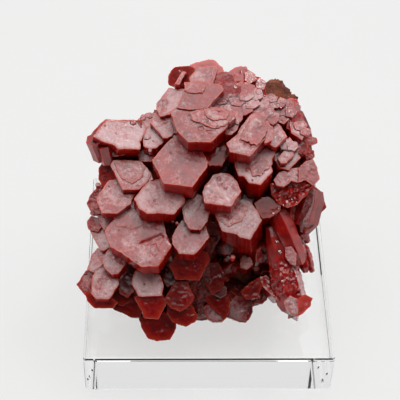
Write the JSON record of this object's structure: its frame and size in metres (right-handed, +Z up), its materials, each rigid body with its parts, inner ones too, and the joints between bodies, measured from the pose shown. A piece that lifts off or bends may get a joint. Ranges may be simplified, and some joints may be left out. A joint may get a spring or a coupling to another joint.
{
  "type": "vanadinite on matrix mineral specimen on a display block",
  "caption": "Mineral specimen: a cluster of red hexagonal vanadinite tablets on brown rock matrix, resting on a clear square display block.",
  "frame": {"origin": "middle of the underside of the clear display block", "axes": "+Z up, the crystal-covered front faces -Y, +X to the viewer's right"},
  "size_m": [0.0515, 0.051, 0.0541],
  "materials": {
    "acrylic": "clear polished acrylic",
    "rock": "rough brown iron-stained rock",
    "vanadinite": "deep red crystal, resinous, silky on the hexagonal faces"
  },
  "bodies": {
    "root": {"acrylic_block": "acrylic", "matrix": "rock", "crystal_cluster": "vanadinite", "crystal_blades": "vanadinite", "crystals_back_top": "vanadinite", "crystals_back_left": "vanadinite", "crystals_back_right": "vanadinite", "crystals_back_low": "vanadinite"}
  },
  "joints": []
}
